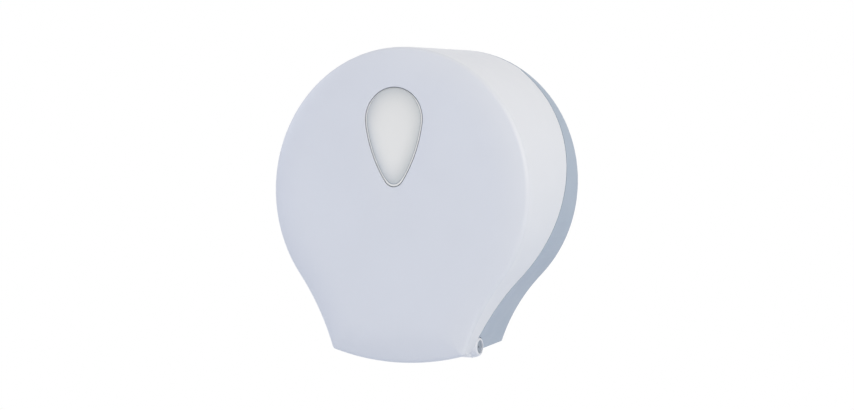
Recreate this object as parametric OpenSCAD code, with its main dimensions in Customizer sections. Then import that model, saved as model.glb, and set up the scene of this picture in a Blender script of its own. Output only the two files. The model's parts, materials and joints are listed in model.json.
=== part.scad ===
// Jumbo toilet roll dispenser, wall mounted. Millimetres.
// +X right, +Y into the wall (wall plane y = 0), +Z up.
// The origin is the centre of the four wall screw holes, on the wall plane.

/* [Housing outline] */
// Radius of the drum outline at the wall
rear_r = 131; // [120:1:150]
// Radius of the drum outline at the front crease
front_r = 133.6; // [120:0.1:152]
// How far the front drum centre sits below the rear one
front_drop = 9; // [0:1:16]
// Radius of the concave neck at the wall
rear_neck_r = 180; // [120:5:260]
// Radius of the concave neck at the front crease
front_neck_r = 240; // [160:5:300]
// Half width of the foot at the wall
rear_foot_w = 50.5; // [44:0.5:60]
// Half width of the foot at the front crease
front_foot_w = 69; // [62:0.5:78]
// Depth of the foot corners below the rear drum centre
foot_drop = 160; // [152:1:172]
// Sag of the front panel's lower edge between its corners
foot_sag = 9.8; // [4:0.2:14]
// Depth from the wall to the front crease, measured to its sharp corner
crease_depth = 130; // [120:1:142]

/* [Cover] */
// Wall thickness of the cover
cover_wall = 2.5; // [2:0.1:3.5]
// How far the front panel rolls forward from the crease
roll_height = 4.5; // [3:0.5:7]
// Width of that roll, measured inward from the crease
roll_width = 30; // [20:1:31]
// Outer radius of the crease
crease_r = 5; // [4:0.5:7]
// Radius of the cover's lower corners
foot_corner_r = 5; // [3:0.5:8]
// Depth of the turned-in lip along the cover's lower edge
foot_lip = 9; // [6:0.5:14]

/* [Base] */
// Wall thickness of the base's side band
base_wall = 2.5; // [2:0.1:3.5]
// Thickness of the back plate
plate_t = 4; // [3:0.5:5]
// Clearance between the back plate and the cover over it
plate_gap = 1; // [0.6:0.1:2]
// Height of the ribs on the back plate
rib_height = 3; // [2:0.5:4]
// Thickness of the ribs on the back plate
rib_t = 2; // [1.5:0.1:3]
// Number of ribs that fan out from the spindle
rib_count = 10; // [6:1:16]
// Depth of the base band over the top
band_top = 3; // [2.6:0.2:5]
// Depth of the parting line near the top of its sweep
band_upper = 12.6; // [11:0.1:16]
// Depth of the parting line at the drum centre
band_mid = 33; // [28:1:38]
// Depth of the parting line at the hinge
band_low = 95.5; // [94:0.5:98]
// Gap along the parting line
parting_gap = 0.8; // [0.5:0.1:1.5]

/* [Window] */
// Radius of the window's upper end
window_top_r = 31; // [26:1:34]
// Height of that end's centre
window_top_z = 56; // [50:1:60]
// Radius of the window's lower end
window_low_r = 10; // [7:1:13]
// Height of that end's centre
window_low_z = 4; // [0:1:10]
// Radius of the window's flanks
window_side_r = 130; // [100:5:160]
// Clearance round the window lens
window_gap = 0.4; // [0.2:0.05:0.6]
// Thickness of the lens flange
lens_flange_t = 1.6; // [1.2:0.1:2.4]
// Width of the lens flange beyond the opening
lens_flange_w = 3.5; // [2.5:0.5:5]
// How far the lens swells past the front panel
lens_swell = 1.5; // [0.5:0.5:3]

/* [Hinge] */
// Depth of the hinge axis from the wall
hinge_depth = 91; // [88:0.5:93]
// Drop of the hinge axis below the drum centre
hinge_drop = 155.2; // [154:0.2:156.6]
// Radius of the cover's hinge ear at its outer face
ear_r = 8.2; // [7.8:0.1:9.2]
// How much wider the ear is at its inner face
ear_flare = 2.4; // [1:0.1:2.8]
// Width of the hinge ear
ear_width = 8; // [7:0.5:9]
// How far the ear stands out past the side of the foot beside it
ear_proud = 5.2; // [4.6:0.1:6.4]
// Radius of the hinge pin's shank
pin_r = 3.5; // [3:0.1:4]
// Radius of the hinge pin's head
pin_head_r = 6.1; // [5.5:0.1:6.6]
// Thickness of the hinge pin's head
pin_head_t = 2; // [1.5:0.1:3]
// Radial running clearance of the hinge pins
pin_gap = 0.05; // [0.03:0.01:0.1]
// Length of the bearing that carries each pin
bearing_length = 7; // [5:0.5:9]
// Thickness of the pin clips
clip_t = 0.8; // [0.6:0.1:1.2]

/* [Roll spindle] */
// Height of the spindle axis
spindle_z = -4; // [-8:1:0]
// Outer radius of the turning hub
hub_r = 21; // [20:0.5:22]
// Length of the turning hub
hub_length = 96; // [90:1:98]
// Number of grooves along the hub
hub_grooves = 6; // [3:1:9]
// Radius of the fixed post inside the hub
post_r = 14; // [12:0.5:15]
// Wall thickness of the post
post_wall = 3.5; // [3:0.5:5]
// Radius of the post's foot flange
post_flange_r = 31.5; // [30.5:0.5:34]
// Thickness of the post's foot flange
post_flange_t = 4; // [3:0.5:5]
// Radius of the circle of flange screws
flange_screw_circle = 26.5; // [26:0.5:28]
// Radial running clearance between post and hub
hub_gap = 0.06; // [0.03:0.01:0.1]
// Thickness of the thrust washer
washer_t = 1.3; // [1:0.1:2]
// Thickness of the hub's retaining cap
cap_t = 2; // [1.5:0.1:3]

/* [Lock] */
// Distance of the lock from the wall
lock_depth = 27; // [26.5:0.5:29]
// Radius of the lock barrel's body
barrel_r = 7; // [6.5:0.1:8]
// Length of the lock barrel below its flange
barrel_length = 15; // [14:0.5:16]
// Radius of the lock barrel's flange
flange_r = 9; // [8.6:0.1:10]
// Radius of the turning plug
plug_r = 4.5; // [4:0.1:5]
// Radial running clearance of the plug
plug_gap = 0.05; // [0.03:0.01:0.1]
// Reach of the cam from the lock's axis
cam_reach = 19; // [18.5:0.1:19.5]
// Thickness of the cam and its turned-up tip
cam_t = 2; // [1.5:0.1:2.5]
// Height of the cam's turned-up tip
cam_tip = 6; // [5:0.5:7]
// Width of the keeper's hook
keeper_width = 11; // [9:0.5:12]
// Thickness of the keeper
keeper_t = 2; // [1.5:0.1:2.5]

/* [Fixings] */
// Horizontal spacing of the wall screw holes
wall_hole_dx = 150; // [130:5:170]
// Vertical spacing of the wall screw holes
wall_hole_dz = 130; // [110:5:150]
// Radius of the wall screw holes
wall_hole_r = 2.75; // [2:0.25:3.5]
// Radius of the small fixing screws
screw_r = 1.7; // [1.5:0.1:2]
// Length of the small fixing screws
screw_length = 6; // [5:0.5:7]

/* [Tear blades] */
// Clearance between a blade's flange and the hinge bearing beside it
blade_clear = 2.6; // [2.5:0.1:5]
// Width of the flange that fixes a tear blade
blade_flange_w = 7; // [7:0.5:9]
// Length of a tear blade
blade_length = 98; // [90:1:102]
// Height of a tear blade with its teeth
blade_height = 10; // [8:0.5:12]
// Thickness of the blade's sheet
blade_t = 1; // [0.8:0.1:1.2]
// Number of teeth on a tear blade
blade_teeth = 32; // [20:1:40]
// Depth of the teeth
tooth_depth = 3; // [2:0.5:4]

/* [Hidden] */

cover_white = [0.90, 0.92, 0.96];
base_grey = [0.68, 0.73, 0.80];
lens_grey = [0.88, 0.90, 0.91, 0.6];
steel = [0.75, 0.76, 0.78];
pin_grey = [0.55, 0.58, 0.63];

$fn = 48;

// Number of outline stations on each arc of one half, from the top down
top_n = 40;
neck_n = 18;
corner_n = 5;
bottom_n = 8;
side_end = top_n + neck_n;
half_n = side_end + corner_n + bottom_n;
loop_n = 2 * half_n;

// ---------- outline ----------

function mix(a, b, k) = a + (b - a) * k;
function angle_of(v) = atan2(v[1], v[0]);
function positive(a) = a < 0 ? a + 360 : a;

// The crossing of circles (c1, r1) and (c2, r2) that lies left of the line c1 to c2
function crossing(c1, r1, c2, r2) =
    let (d = norm(c2 - c1),
         u = (c2 - c1) / d,
         a = (r1 * r1 - r2 * r2 + d * d) / (2 * d),
         h = sqrt(r1 * r1 - a * a))
    c1 + a * u + h * [-u[1], u[0]];

// The arcs of the outline's right half at depth share k (0 at the wall, 1 at the crease):
// each is [centre, radius, first angle, last angle, +1 convex or -1 concave]
function outline_arcs(k, corner_r) =
    let (r = mix(rear_r, front_r, k),
         drum = [0, -front_drop * k],
         neck = mix(rear_neck_r, front_neck_r, k),
         foot = [mix(rear_foot_w, front_foot_w, k), -foot_drop],
         neck_c = crossing(drum, r + neck, foot, neck),
         low_r = (foot[0] * foot[0] + foot_sag * foot_sag) / (2 * foot_sag),
         low_c = [0, foot[1] - foot_sag + low_r],
         corner_c = crossing(neck_c, neck + corner_r, low_c, low_r - corner_r),
         turn = angle_of(neck_c - drum),
         low_a = angle_of(corner_c - low_c))
    [[drum, r, 90, turn, 1],
     [neck_c, neck, turn + 180, positive(angle_of(corner_c - neck_c)), -1],
     [corner_c, corner_r, angle_of(neck_c - corner_c), low_a, 1],
     [low_c, low_r, low_a, -90, 1]];

function arc_point(arc, share, inset) =
    let (a = mix(arc[2], arc[3], share))
    arc[0] + (arc[1] - arc[4] * inset) * [cos(a), sin(a)];

// [x, z] of station i (0 top, half_n bottom middle) of the right half, moved inward by inset
function half_station(i, k, inset, corner_r) =
    let (arcs = outline_arcs(k, corner_r))
    i <= top_n ? arc_point(arcs[0], i / top_n, inset)
    : i <= side_end ? arc_point(arcs[1], (i - top_n) / neck_n, inset)
    : i <= side_end + corner_n ? arc_point(arcs[2], (i - side_end) / corner_n, inset)
    : arc_point(arcs[3], (i - side_end - corner_n) / bottom_n, inset);

// The same for any station of the whole loop, clockwise from the top as seen from the front
function station(i, k, inset, corner_r) =
    let (j = (i % loop_n + loop_n) % loop_n)
    j <= half_n ? half_station(j, k, inset, corner_r)
    : let (p = half_station(loop_n - j, k, inset, corner_r)) [-p[0], p[1]];

function at_depth(i, y, inset, corner_r) =
    let (p = station(i, -y / crease_depth, inset, corner_r))
    [p[0], y, p[1]];

// ---------- parting line ----------

upper_z = 87;
low_z = -145;
shoulder_start = 87;
shoulder_end = 109;

// Depth of the parting line at height z: a parabola through three named depths,
// drawn back to the thin band over the top by a rounded shoulder
function parting_sweep(z) =
    band_mid * (z - upper_z) * (z - low_z) / ((0 - upper_z) * (0 - low_z))
    + band_upper * (z - 0) * (z - low_z) / ((upper_z - 0) * (upper_z - low_z))
    + band_low * (z - 0) * (z - upper_z) / ((low_z - 0) * (low_z - upper_z));
function shoulder(z) =
    z <= shoulder_start ? 1
    : z >= shoulder_end ? 0
    : sqrt(1 - pow((z - shoulder_start) / (shoulder_end - shoulder_start), 2));
function parting_depth(z) = mix(band_top, parting_sweep(max(z, low_z)), shoulder(z));

// Depth of the parting line at station i, by one correction of a first guess
function station_parting(i, corner_r) =
    let (first = parting_depth(station(i, 0.4, 0, corner_r)[1]))
    parting_depth(station(i, first / crease_depth, 0, corner_r)[1]);

// ---------- skins ----------

// Closed solid through rings of equal length, with a fan to a point at each end
module skin_to_points(rings, first_point, last_point) {
    n = len(rings[0]);
    m = len(rings);
    points = concat([for (r = rings) each r], [first_point, last_point]);
    faces = concat(
        [for (j = [0 : m - 2], i = [0 : n - 1], half = [0, 1])
            let (a = j * n + i, b = j * n + (i + 1) % n, c = a + n, d = b + n)
            half == 0 ? [a, c, b] : [b, c, d]],
        [for (i = [0 : n - 1]) [m * n, i, (i + 1) % n]],
        [for (i = [0 : n - 1]) [m * n + 1, (m - 1) * n + (i + 1) % n, (m - 1) * n + i]]);
    polyhedron(points, faces, convexity = 6);
}

// Closed solid through equal open-ended sections, with a flat cap at each end
module skin_with_caps(sections) {
    n = len(sections[0]);
    m = len(sections);
    faces = concat(
        [for (j = [0 : m - 2], i = [0 : n - 1], half = [0, 1])
            let (a = j * n + i, b = j * n + (i + 1) % n, c = a + n, d = b + n)
            half == 0 ? [a, c, b] : [b, c, d]],
        [for (i = [1 : n - 2]) [0, i, i + 1]],
        [for (i = [1 : n - 2]) [(m - 1) * n, (m - 1) * n + i + 1, (m - 1) * n + i]]);
    polyhedron([for (s = sections) each s], faces, convexity = 6);
}

module along_x(x, y, z) { translate([x, y, z]) rotate([0, 90, 0]) children(); }
module along_y(x, y, z) { translate([x, y, z]) rotate([90, 0, 0]) children(); }
module both_sides() { children(); mirror([1, 0, 0]) children(); }

hinge_y = -hinge_depth;
hinge_z = -hinge_drop;

// ---------- shared places ----------

function foot_w_at(depth) = mix(rear_foot_w, front_foot_w, depth / crease_depth);
ear_out = foot_w_at(hinge_depth) + ear_proud;
ear_in = ear_out - ear_width;
ear_gap = 1;
bearing_out = ear_in - ear_gap;
bearing_in = bearing_out - bearing_length;
bearing_r = pin_r + 4;
pin_recess = 0.5;
head_seat_x = ear_out - pin_recess - pin_head_t;
head_play = 0.4;
clip_gap = 0.1;
clip_r = pin_r + 2;
groove_depth = 0.8;
pin_tip = 1.5;
pin_end_x = bearing_in - clip_gap - clip_t - pin_tip;

// How far a cutting tool runs past the face it cuts
past = 1;

screw_head_r = screw_r + 1.4;
screw_head_t = 2.2;

// Screw seated at the origin: head below, shank along +Z, hexagonal recess in the head
module screw(head_r, head_t, shank_r, length) {
    recess_share = 0.6;
    difference() {
        union() {
            translate([0, 0, -head_t]) cylinder(r = shank_r, h = head_t + length);
            translate([0, 0, -head_t]) cylinder(r = head_r, h = head_t);
        }
        translate([0, 0, -head_t - past])
            cylinder(r = head_r * 0.45, h = head_t * recess_share + past, $fn = 6);
    }
}
module fixing_screw() { screw(screw_head_r, screw_head_t, screw_r, screw_length); }
// Close hole for a screw's shank, from just outside its seat to the given depth
module screw_hole(r, depth) { translate([0, 0, -past]) cylinder(r = r, h = depth + past); }

// ---------- front cover ----------

panel_middle = -14;
panel_shares = [0.66, 0.77, 0.82, 0.87, 0.92, 0.96, 1];
roll_power = 2.2;
crease_end = 90 - atan(roll_power * roll_height / roll_width);

// Roll of the front panel at distance u in from the end of the crease's rounding
function roll_at(u) = roll_height * (1 - pow(1 - min(u, roll_width) / roll_width, roll_power));

// Inset and depth on the crease's rounding, turned by angle a from the wall, on the skin
// that lies inset inside the outer one
function crease_inset(a, inset) = inset + (crease_r - inset) * (1 - cos(a));
function crease_y(a, inset) = -(crease_depth - crease_r + (crease_r - inset) * sin(a));

face_y = crease_y(crease_end, 0) - roll_height;
face_back_y = crease_y(crease_end, cover_wall) - roll_height;

function crease_ring(a, inset) = [
    for (i = [0 : loop_n - 1])
        let (p = station(i, 1, crease_inset(a, inset), foot_corner_r))
        [p[0], crease_y(a, inset), p[1]]];

// A ring of the front panel, drawn in by share s from the crease (s = 1) to the middle
function panel_ring(s, inset) = [
    for (i = [0 : loop_n - 1])
        let (p = station(i, 1, crease_inset(crease_end, inset), foot_corner_r),
             q = [p[0] * s, mix(panel_middle, p[1], s)])
        [q[0], crease_y(crease_end, inset) - roll_at(norm(p - q)), q[1]]];

// A ring of the cover's wall; t runs from the parting edge (0) to the crease (1)
function wall_ring(t, inset) = [
    for (i = [0 : loop_n - 1])
        let (j = min(i, loop_n - i),
             side = station_parting(j, foot_corner_r),
             lip = crease_depth - foot_lip,
             edge = mix(side, lip, max(0, min(1, (j - side_end) / (corner_n - 1)))))
        at_depth(i, -mix(edge, crease_depth - crease_r, t), inset, foot_corner_r)];

module cover_shell() {
    m = len(panel_shares) - 1;
    wall_shares = [0, 0.33, 0.66, 1];
    crease_turns = [1 / 3, 2 / 3];
    skin_to_points(concat(
            [for (s = panel_shares) panel_ring(s, 0)],
            [for (k = [1 : -1 : 0]) crease_ring(crease_end * crease_turns[k], 0)],
            [for (k = [3 : -1 : 0]) wall_ring(wall_shares[k], 0)],
            [for (k = [0 : 3]) wall_ring(wall_shares[k], cover_wall)],
            [crease_ring(crease_end / 2, cover_wall)],
            [for (k = [m : -1 : 0]) panel_ring(panel_shares[k], cover_wall)]),
        [0, face_y, panel_middle], [0, face_back_y, panel_middle]);
}

ear_bevel = 0.8;
ear_blend = 26;

// Round ear at the cover's lower corner, blended forward into the side wall
module hinge_ear() {
    skin = 0.1;
    web_end = [foot_w_at(hinge_depth + ear_blend) - cover_wall, hinge_y - ear_blend, hinge_z - 3];
    hull() {
        along_x(ear_in, hinge_y, hinge_z)
            cylinder(r1 = ear_r + ear_flare - skin, r2 = ear_r - skin, h = ear_width - ear_bevel, $fn = 40);
        translate(web_end) cube([cover_wall, 2, 4]);
    }
    along_x(ear_in, hinge_y, hinge_z) rotate_extrude()
        polygon([[0, 0], [ear_r + ear_flare, 0], [ear_r, ear_width - ear_bevel],
                 [ear_r - ear_bevel, ear_width], [0, ear_width]]);
}

module front_cover() {
    color(cover_white) difference() {
        union() {
            cover_shell();
            both_sides() hinge_ear();
            lock_boss();
        }
        both_sides() {
            along_x(ear_in - past, hinge_y, hinge_z)
                cylinder(r = pin_r + pin_gap, h = ear_width + 2 * past);
            along_x(head_seat_x - head_play, hinge_y, hinge_z)
                cylinder(r = pin_head_r + head_play, h = ear_width);
        }
        translate([0, face_back_y + past, 0]) rotate([90, 0, 0])
            linear_extrude(face_back_y - face_y + 2 * past) polygon(window_outline(0));
        translate([0, lock_y, flange_seat_z])
            cylinder(r = flange_r + flange_gap, h = barrel_length);
        translate([0, lock_y, boss_z - past])
            cylinder(r = barrel_r + barrel_gap, h = flange_seat_z - boss_z + 2 * past);
    }
}

// ---------- window lens ----------

// The window's right half as arcs: upper end, flank, lower end
function window_arcs() =
    let (top = [0, window_top_z],
         low = [0, window_low_z],
         side = crossing(low, window_side_r - window_low_r, top, window_side_r - window_top_r),
         a = angle_of(top - side),
         b = angle_of(low - side))
    [[top, window_top_r, 90, a, 1], [side, window_side_r, a, b, 1], [low, window_low_r, b, -90, 1]];

window_n = [9, 6, 5];
function window_half(outset) =
    let (arcs = window_arcs())
    [for (k = [0 : 2], j = [0 : window_n[k] - 1]) arc_point(arcs[k], j / window_n[k], -outset)];

// The whole window outline, moved outward by outset
function window_outline(outset) =
    let (right = window_half(outset), n = len(right))
    concat(right, [[0, window_low_z - window_low_r - outset]],
           [for (j = [n - 1 : -1 : 1]) [-right[j][0], right[j][1]]]);

window_mid_z = 44;
lens_recess = 0.4;
lens_rim_w = 1.4;
lens_wall = 2.4;
lens_hollow_inset = 3;

// A ring of the lens, drawn in by share s and set at depth y
function lens_ring(outset, s, y) =
    [for (p = window_outline(outset)) [p[0] * s, y, mix(window_mid_z, p[1], s)]];
// How far the lens stands out past the panel at share s
function swell(s) = (lens_swell + lens_recess) * (1 - pow(s, 6)) - lens_recess;

// Swollen lens with a flat rim round it and a flange behind the panel
module window_lens() {
    flange_y = face_back_y + lens_flange_t;
    outer = [0.4, 0.7, 0.85, 0.94, 1];
    inner = [0.85, 0.4];
    color(lens_grey) skin_to_points(concat(
            [for (s = outer) lens_ring(-window_gap - lens_rim_w, s, face_y - swell(s))],
            [lens_ring(-window_gap, 1, face_y - swell(1)),
             lens_ring(-window_gap, 1, face_back_y),
             lens_ring(lens_flange_w, 1, face_back_y),
             lens_ring(lens_flange_w, 1, flange_y),
             lens_ring(-lens_hollow_inset, 1, flange_y)],
            [for (s = inner) lens_ring(-lens_hollow_inset, s, face_y + lens_wall - swell(s))]),
        [0, face_y - swell(0), window_mid_z], [0, face_y + lens_wall - swell(0), window_mid_z]);
}

// ---------- base ----------

// One section of the base's side band at station i: outer edge forward, inner edge back
function band_section(i) =
    let (j = i % loop_n,
         depth = station_parting(min(j, loop_n - j), 1) - parting_gap,
         shares = [0, 0.5, 1])
    concat([for (s = shares) at_depth(i, -depth * s, 0, 1)],
           [for (s = [1, 0.5, 0]) at_depth(i, -depth * s, base_wall, 1)]);

module side_band() {
    skin_with_caps([for (i = [-side_end : side_end]) band_section(i + loop_n)]);
}

lip_gap = 0.6;
lip_t = 1.6;
lip_reach = 3;
lip_end = 24;

// One section of the lip that centres the cover: it stands forward of the parting line
function lip_section(i) =
    let (j = i % loop_n,
         depth = station_parting(min(j, loop_n - j), 1) + lip_reach,
         outside = cover_wall + lip_gap,
         shares = [0, 0.5, 1])
    concat([for (s = shares) at_depth(i, -depth * s, outside, 1)],
           [for (s = [1, 0.5, 0]) at_depth(i, -depth * s, outside + lip_t, 1)]);

// The lip runs over the upper half, joined to the band by a web behind the parting line
module cover_lip() {
    skin_with_caps([for (i = [-lip_end : lip_end]) lip_section(i + loop_n)]);
    skin_with_caps([for (i = [-lip_end : lip_end]) lip_web_section(i + loop_n)]);
}
function lip_web_section(i) =
    let (j = i % loop_n,
         depth = station_parting(min(j, loop_n - j), 1) - parting_gap - 1,
         outside = base_wall / 2,
         inside = cover_wall + lip_gap + lip_t / 2)
    [at_depth(i, 0, outside, 1), at_depth(i, -depth, outside, 1),
     at_depth(i, -depth, inside, 1), at_depth(i, 0, inside, 1)];

// Flat layer of the back plate with its edge moved inward
module plate_layer(thickness, inset) {
    rotate([90, 0, 0]) linear_extrude(thickness)
        polygon([for (i = [-side_end : side_end]) station(i, 0, inset, 1)]);
}

module wall_hole_places() {
    for (x = [-1, 1], z = [-1, 1])
        along_y(x * wall_hole_dx / 2, 0, z * wall_hole_dz / 2) children();
}

rim_t = 2;
ring_rib_gap = 6;
ring_rib_r = post_flange_r + ring_rib_gap;
ring_rise = 0.6;
rib_length = 72;
wall_boss = 5;

module plate_ribs() {
    top = plate_t + rib_height;
    along_y(0, 0, spindle_z) difference() {
        cylinder(r = ring_rib_r + rib_t, h = top + ring_rise);
        translate([0, 0, plate_t]) cylinder(r = ring_rib_r, h = top);
    }
    for (k = [0 : rib_count - 1])
        translate([0, 0, spindle_z]) rotate([0, k * 360 / rib_count, 0])
            translate([-rib_t / 2, -top, ring_rib_r + rib_t / 2])
                cube([rib_t, top, rib_length]);
    wall_hole_places() cylinder(r = wall_hole_r + wall_boss, h = top);
}

// Bearing for a hinge pin, carried by a web that runs back into the cheek
module hinge_bearing() {
    reach = 36;
    depth = 8;
    hull() {
        along_x(bearing_in, hinge_y, hinge_z) cylinder(r = bearing_r, h = bearing_length, $fn = 40);
        translate([bearing_in, hinge_y + reach, hinge_z - depth / 2])
            cube([bearing_length - 3, rib_t, depth]);
    }
}

shelf_t = 3;
shelf_rise = 6.5;
shelf_z = hinge_z + shelf_rise;
shelf_end = 70;
blade_x = bearing_in - blade_clear - blade_flange_w;

// Shelf along the inside of a cheek that carries a tear blade
module blade_shelf() {
    slope = (front_foot_w - rear_foot_w) / crease_depth;
    translate([0, 0, shelf_z]) linear_extrude(shelf_t)
        polygon([[blade_x, -plate_t / 2], [rear_foot_w - 1, -plate_t / 2],
                 [rear_foot_w - 1 + slope * shelf_end, -shelf_end], [blade_x, -shelf_end]]);
}

module rear_base() {
    color(base_grey) difference() {
        union() {
            side_band();
            cover_lip();
            plate_layer(rim_t, 1);
            plate_layer(plate_t, cover_wall + plate_gap);
            plate_ribs();
            both_sides() {
                hinge_bearing();
                blade_shelf();
            }
        }
        both_sides() {
            along_x(bearing_in - past, hinge_y, hinge_z)
                cylinder(r = pin_r + pin_gap, h = bearing_length + 2 * past);
            along_x(bearing_out, hinge_y, hinge_z) rotate_extrude()
                polygon([[0, 0], [ear_r + ear_flare + ear_gap, 0], [ear_r + ear_flare + ear_gap, ear_gap],
                         [ear_r + ear_gap, ear_width], [ear_r + ear_gap, 2 * ear_width], [0, 2 * ear_width]]);
            blade_screw_places() screw_hole(screw_r, blade_t + shelf_t + past);
        }
        wall_hole_places() screw_hole(wall_hole_r, plate_t + rib_height + past);
        along_y(0, 0, spindle_z) screw_hole(post_r - post_wall, plate_t + past);
        flange_screw_places() screw_hole(screw_r, plate_t + past);
        keeper_screw_places() screw_hole(screw_r, plate_t + past);
    }
}

// ---------- hinge pins and clips ----------

head_hole_r = 1;
head_hole_depth = 1.2;

module hinge_pin() {
    length = head_seat_x - pin_end_x;
    color(pin_grey) along_x(pin_end_x, hinge_y, hinge_z) difference() {
        union() {
            cylinder(r = pin_r, h = length + pin_head_t);
            translate([0, 0, length]) cylinder(r = pin_head_r, h = pin_head_t);
        }
        translate([0, 0, pin_tip - clip_gap]) difference() {
            cylinder(r = pin_r + past, h = clip_t + 2 * clip_gap);
            translate([0, 0, -past]) cylinder(r = pin_r - groove_depth, h = clip_t + 3 * past);
        }
        translate([0, 0, length + pin_head_t - head_hole_depth])
            cylinder(r = head_hole_r, h = head_hole_depth + past);
    }
}
module hinge_pin_right() { hinge_pin(); }
module hinge_pin_left() { mirror([1, 0, 0]) hinge_pin(); }

clip_mouth = 4;

module hinge_clips() {
    color(steel) both_sides() along_x(bearing_in - clip_gap - clip_t, hinge_y, hinge_z) difference() {
        cylinder(r = clip_r, h = clip_t);
        translate([0, 0, -past]) cylinder(r = pin_r - groove_depth + pin_gap, h = clip_t + 2 * past);
        translate([-clip_mouth / 2, 0, -past]) cube([clip_mouth, clip_r + past, clip_t + 2 * past]);
    }
}

// ---------- roll spindle ----------

plate_face_y = -plate_t;
post_foot_y = plate_face_y - post_flange_t;
end_play = 0.3;
hub_back_y = post_foot_y - washer_t - end_play;
hub_front_y = hub_back_y - hub_length;
cap_pocket = 5;
post_nose = 12;
hub_screw_r = 2.5;
post_end_y = hub_front_y + cap_pocket - end_play;

module flange_screw_places() {
    for (k = [0 : 3])
        translate([0, 0, spindle_z]) rotate([0, 45 + 90 * k, 0])
            along_y(flange_screw_circle, 0, 0) children();
}

module spindle_post() {
    color(base_grey) difference() {
        union() {
            along_y(0, plate_face_y, spindle_z) cylinder(r = post_flange_r, h = post_flange_t);
            along_y(0, plate_face_y, spindle_z) cylinder(r = post_r, h = plate_face_y - post_end_y);
        }
        along_y(0, plate_face_y, spindle_z)
            screw_hole(post_r - post_wall, plate_face_y - post_end_y - post_nose);
        along_y(0, post_end_y + post_nose + past, spindle_z)
            cylinder(r = hub_screw_r, h = post_nose + 2 * past);
        flange_screw_places() screw_hole(screw_r, plate_t + post_flange_t + past);
    }
}

module spindle_screws() {
    color(steel) flange_screw_places()
        translate([0, 0, -post_foot_y]) mirror([0, 0, 1]) fixing_screw();
}

washer_rim = 2;
washer_gap = 0.2;

module thrust_washer() {
    color(steel) along_y(0, post_foot_y, spindle_z) difference() {
        cylinder(r = hub_r - washer_rim, h = washer_t);
        translate([0, 0, -past]) cylinder(r = post_r + washer_gap, h = washer_t + 2 * past);
    }
}

hub_rim = 2.5;
groove_r = 2;
cap_gap = 0.5;

module roll_hub() {
    color(cover_white) along_y(0, hub_back_y, spindle_z) difference() {
        cylinder(r = hub_r, h = hub_length);
        translate([0, 0, -past]) cylinder(r = post_r + hub_gap, h = hub_length + 2 * past);
        translate([0, 0, hub_length - cap_pocket]) cylinder(r = hub_r - hub_rim, h = cap_pocket + past);
        for (k = [0 : hub_grooves - 1])
            rotate([0, 0, k * 360 / hub_grooves]) translate([hub_r + groove_r / 2, 0, -past])
                cylinder(r = groove_r, h = hub_length + 2 * past);
    }
}

module hub_cap() {
    color(base_grey) along_y(0, post_end_y, spindle_z) difference() {
        cylinder(r = hub_r - hub_rim - cap_gap, h = cap_t);
        translate([0, 0, -past]) cylinder(r = hub_screw_r, h = cap_t + 2 * past);
    }
}

module hub_screw() {
    color(steel) along_y(0, post_end_y - cap_t, spindle_z)
        mirror([0, 0, 1]) screw(hub_screw_r + 2, 2.5, hub_screw_r, post_nose - 1);
}

// ---------- lock ----------

lock_y = -lock_depth;
lock_wall_z = at_depth(0, lock_y, 0, foot_corner_r)[2];
flange_t = 1.4;
flange_gap = 0.3;
barrel_gap = 0.1;
flange_seat_z = lock_wall_z - flange_t - flange_gap;
boss_t = 6;
boss_z = flange_seat_z - boss_t;
boss_rim = 1.5;
nut_t = 3;
nut_r = barrel_r + 3;
barrel_end_z = flange_seat_z - barrel_length;
cam_gap = 0.3;
cam_z = barrel_end_z - cam_gap - cam_t;
cam_half = 4;
cam_hub_r = 6;
cam_screw_r = 1.25;
cam_screw_length = 6;
key_slot = [1.2, 6, 4];

// Thick pad inside the cover's top wall that the lock barrel passes through
module lock_boss() {
    translate([0, lock_y, boss_z]) cylinder(r = flange_r + boss_rim, h = flange_seat_z - boss_z + flange_gap);
}

module lock_barrel() {
    color(steel) translate([0, lock_y, 0]) difference() {
        union() {
            translate([0, 0, flange_seat_z]) cylinder(r = flange_r, h = flange_t);
            translate([0, 0, barrel_end_z]) cylinder(r = barrel_r, h = barrel_length + flange_t);
        }
        translate([0, 0, barrel_end_z - past])
            cylinder(r = plug_r + plug_gap, h = barrel_length + flange_t + 2 * past);
    }
}

module lock_nut() {
    color(steel) translate([0, lock_y, boss_z - nut_t]) difference() {
        cylinder(r = nut_r, h = nut_t, $fn = 6);
        translate([0, 0, -past]) cylinder(r = barrel_r + plug_gap, h = nut_t + 2 * past);
    }
}

module lock_plug() {
    top = flange_seat_z + flange_t;
    foot = cam_z + cam_t;
    color(steel) translate([0, lock_y, 0]) difference() {
        translate([0, 0, foot]) cylinder(r = plug_r, h = top - foot);
        translate([-key_slot[0] / 2, -key_slot[1] / 2, top - key_slot[2]])
            cube([key_slot[0], key_slot[1], key_slot[2] + past]);
        translate([0, 0, foot]) screw_hole(cam_screw_r, cam_screw_length);
    }
}

// Cam at rest along +X: an arm with a turned-up tip at its end
module lock_cam() {
    arm = sqrt(cam_reach * cam_reach - cam_half * cam_half);
    color(steel) translate([0, lock_y, cam_z]) difference() {
        union() {
            cylinder(r = cam_hub_r, h = cam_t);
            translate([0, -cam_half, 0]) cube([arm, 2 * cam_half, cam_t]);
            translate([arm - cam_t, -cam_half, 0]) cube([cam_t, 2 * cam_half, cam_t + cam_tip]);
        }
        screw_hole(cam_screw_r, cam_t + past);
    }
}

module cam_screw() {
    color(steel) translate([0, lock_y, cam_z]) screw(3, 2, cam_screw_r, cam_screw_length);
}

keeper_lip_gap = 12;
keeper_lip_y = lock_y + keeper_lip_gap;
keeper_clear = 2;
keeper_arm_z = cam_z + cam_t + cam_tip + keeper_clear;
keeper_flange_h = 9;
keeper_screw_gap = 6.5;
keeper_screw_x = keeper_width / 2 + keeper_screw_gap;
keeper_screw_z = keeper_arm_z + keeper_t - keeper_flange_h / 2 + 1;
keeper_end = 4.5;

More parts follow.
